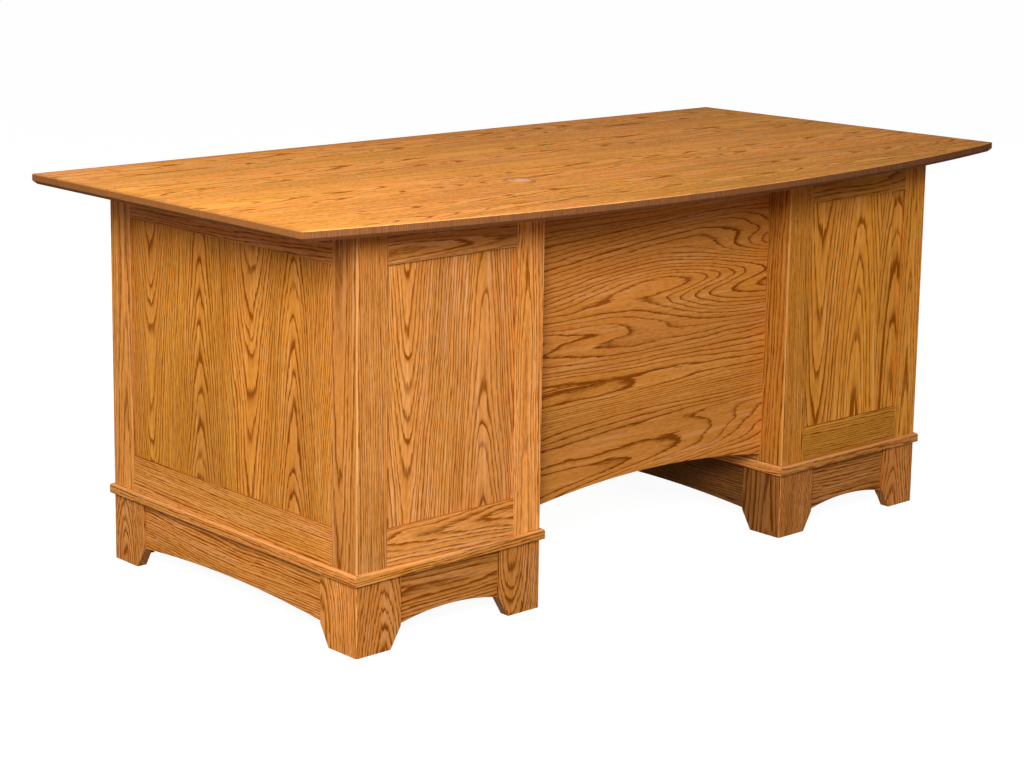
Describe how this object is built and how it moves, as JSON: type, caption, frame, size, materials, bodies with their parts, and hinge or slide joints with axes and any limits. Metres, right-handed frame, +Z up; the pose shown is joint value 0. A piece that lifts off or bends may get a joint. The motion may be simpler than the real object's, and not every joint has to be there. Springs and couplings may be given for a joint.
{
  "type": "executive desk",
  "caption": "Bow-front oak desk with frame-and-panel pedestals on bracket feet, a modesty panel, a cable grommet and drawers on telescopic slides.",
  "frame": {"origin": "on the floor, in the middle of the desk's overall box", "axes": "+X along the desk, +Y towards the user (drawer side), +Z up; the bowed visitor edge is on -Y"},
  "size_m": [1.829, 0.9228, 0.764],
  "materials": {
    "top_oak": "satin lacquer",
    "modesty_oak": "satin lacquer",
    "frame_oak": "satin lacquer",
    "panel_oak": "satin lacquer",
    "base_oak": "satin lacquer",
    "front_oak": "satin lacquer",
    "drawer_wood": "clear lacquer",
    "inner_wood": "planed",
    "bronze": "oil-rubbed bronze",
    "grommet_plastic": "matte",
    "steel": "zinc plated"
  },
  "bodies": {
    "carcass": {"base_aprons": "base_oak", "base_bands": "base_oak", "battens": "inner_wood", "bracket_feet": "base_oak", "desk_top": "top_oak", "floor_boards": "inner_wood", "grommet_liner": "grommet_plastic", "left_face_frame": "frame_oak", "left_knee_frame": "frame_oak", "left_knee_panel": "panel_oak", "left_outer_frame": "frame_oak", "left_outer_panel": "panel_oak", "left_visitor_frame": "frame_oak", "left_visitor_panel": "panel_oak", "modesty_panel": "modesty_oak", "right_face_frame": "frame_oak", "right_knee_frame": "frame_oak", "right_knee_panel": "panel_oak", "right_outer_frame": "frame_oak", "right_outer_panel": "panel_oak", "right_visitor_frame": "frame_oak", "right_visitor_panel": "panel_oak", "slide_rails": "steel", "top_screws": "steel"},
    "grommet_cap": {"grommet_cap": "grommet_plastic"},
    "left_upper_drawer": {"left_upper_drawer_front": "front_oak", "left_upper_drawer_box": "drawer_wood", "left_upper_drawer_pull": "bronze", "left_upper_drawer_runners": "steel"},
    "left_upper_slide_links": {"left_upper_drawer_links": "steel"},
    "left_middle_drawer": {"left_middle_drawer_front": "front_oak", "left_middle_drawer_box": "drawer_wood", "left_middle_drawer_pull": "bronze", "left_middle_drawer_runners": "steel"},
    "left_middle_slide_links": {"left_middle_drawer_links": "steel"},
    "left_file_drawer": {"left_file_drawer_front": "front_oak", "left_file_drawer_box": "drawer_wood", "left_file_drawer_pull": "bronze", "left_file_drawer_runners": "steel"},
    "left_file_slide_links": {"left_file_drawer_links": "steel"},
    "right_upper_drawer": {"right_upper_drawer_front": "front_oak", "right_upper_drawer_box": "drawer_wood", "right_upper_drawer_pull": "bronze", "right_upper_drawer_runners": "steel"},
    "right_upper_slide_links": {"right_upper_drawer_links": "steel"},
    "right_middle_drawer": {"right_middle_drawer_front": "front_oak", "right_middle_drawer_box": "drawer_wood", "right_middle_drawer_pull": "bronze", "right_middle_drawer_runners": "steel"},
    "right_middle_slide_links": {"right_middle_drawer_links": "steel"},
    "right_file_drawer": {"right_file_drawer_front": "front_oak", "right_file_drawer_box": "drawer_wood", "right_file_drawer_pull": "bronze", "right_file_drawer_runners": "steel"},
    "right_file_slide_links": {"right_file_drawer_links": "steel"},
    "centre_drawer": {"centre_drawer_front": "front_oak", "centre_drawer_box": "drawer_wood", "centre_drawer_pull": "bronze", "centre_drawer_runners": "steel"},
    "centre_slide_links": {"centre_drawer_links": "steel"}
  },
  "joints": [
    {"name": "grommet_cap_lift", "type": "slide", "parent": "carcass", "child": "grommet_cap", "axis": [0, 0, 1], "range_m": [0, 0.03]},
    {"name": "left_upper_drawer_slide", "type": "slide", "parent": "carcass", "child": "left_upper_drawer", "axis": [0, 1, 0], "range_m": [0, 0.5]},
    {"name": "left_upper_link_slide", "type": "slide", "parent": "carcass", "child": "left_upper_slide_links", "axis": [0, 1, 0], "range_m": [0, 0.25]},
    {"name": "left_middle_drawer_slide", "type": "slide", "parent": "carcass", "child": "left_middle_drawer", "axis": [0, 1, 0], "range_m": [0, 0.5]},
    {"name": "left_middle_link_slide", "type": "slide", "parent": "carcass", "child": "left_middle_slide_links", "axis": [0, 1, 0], "range_m": [0, 0.25]},
    {"name": "left_file_drawer_slide", "type": "slide", "parent": "carcass", "child": "left_file_drawer", "axis": [0, 1, 0], "range_m": [0, 0.5]},
    {"name": "left_file_link_slide", "type": "slide", "parent": "carcass", "child": "left_file_slide_links", "axis": [0, 1, 0], "range_m": [0, 0.25]},
    {"name": "right_upper_drawer_slide", "type": "slide", "parent": "carcass", "child": "right_upper_drawer", "axis": [0, 1, 0], "range_m": [0, 0.5]},
    {"name": "right_upper_link_slide", "type": "slide", "parent": "carcass", "child": "right_upper_slide_links", "axis": [0, 1, 0], "range_m": [0, 0.25]},
    {"name": "right_middle_drawer_slide", "type": "slide", "parent": "carcass", "child": "right_middle_drawer", "axis": [0, 1, 0], "range_m": [0, 0.5]},
    {"name": "right_middle_link_slide", "type": "slide", "parent": "carcass", "child": "right_middle_slide_links", "axis": [0, 1, 0], "range_m": [0, 0.25]},
    {"name": "right_file_drawer_slide", "type": "slide", "parent": "carcass", "child": "right_file_drawer", "axis": [0, 1, 0], "range_m": [0, 0.5]},
    {"name": "right_file_link_slide", "type": "slide", "parent": "carcass", "child": "right_file_slide_links", "axis": [0, 1, 0], "range_m": [0, 0.25]},
    {"name": "centre_drawer_slide", "type": "slide", "parent": "carcass", "child": "centre_drawer", "axis": [0, 1, 0], "range_m": [0, 0.38]},
    {"name": "centre_link_slide", "type": "slide", "parent": "carcass", "child": "centre_slide_links", "axis": [0, 1, 0], "range_m": [0, 0.19]}
  ],
  "couplings": [
    {"joint": "left_upper_link_slide", "follows": "left_upper_drawer_slide", "ratio": 0.5},
    {"joint": "left_middle_link_slide", "follows": "left_middle_drawer_slide", "ratio": 0.5},
    {"joint": "left_file_link_slide", "follows": "left_file_drawer_slide", "ratio": 0.5},
    {"joint": "right_upper_link_slide", "follows": "right_upper_drawer_slide", "ratio": 0.5},
    {"joint": "right_middle_link_slide", "follows": "right_middle_drawer_slide", "ratio": 0.5},
    {"joint": "right_file_link_slide", "follows": "right_file_drawer_slide", "ratio": 0.5},
    {"joint": "centre_link_slide", "follows": "centre_drawer_slide", "ratio": 0.5}
  ]
}
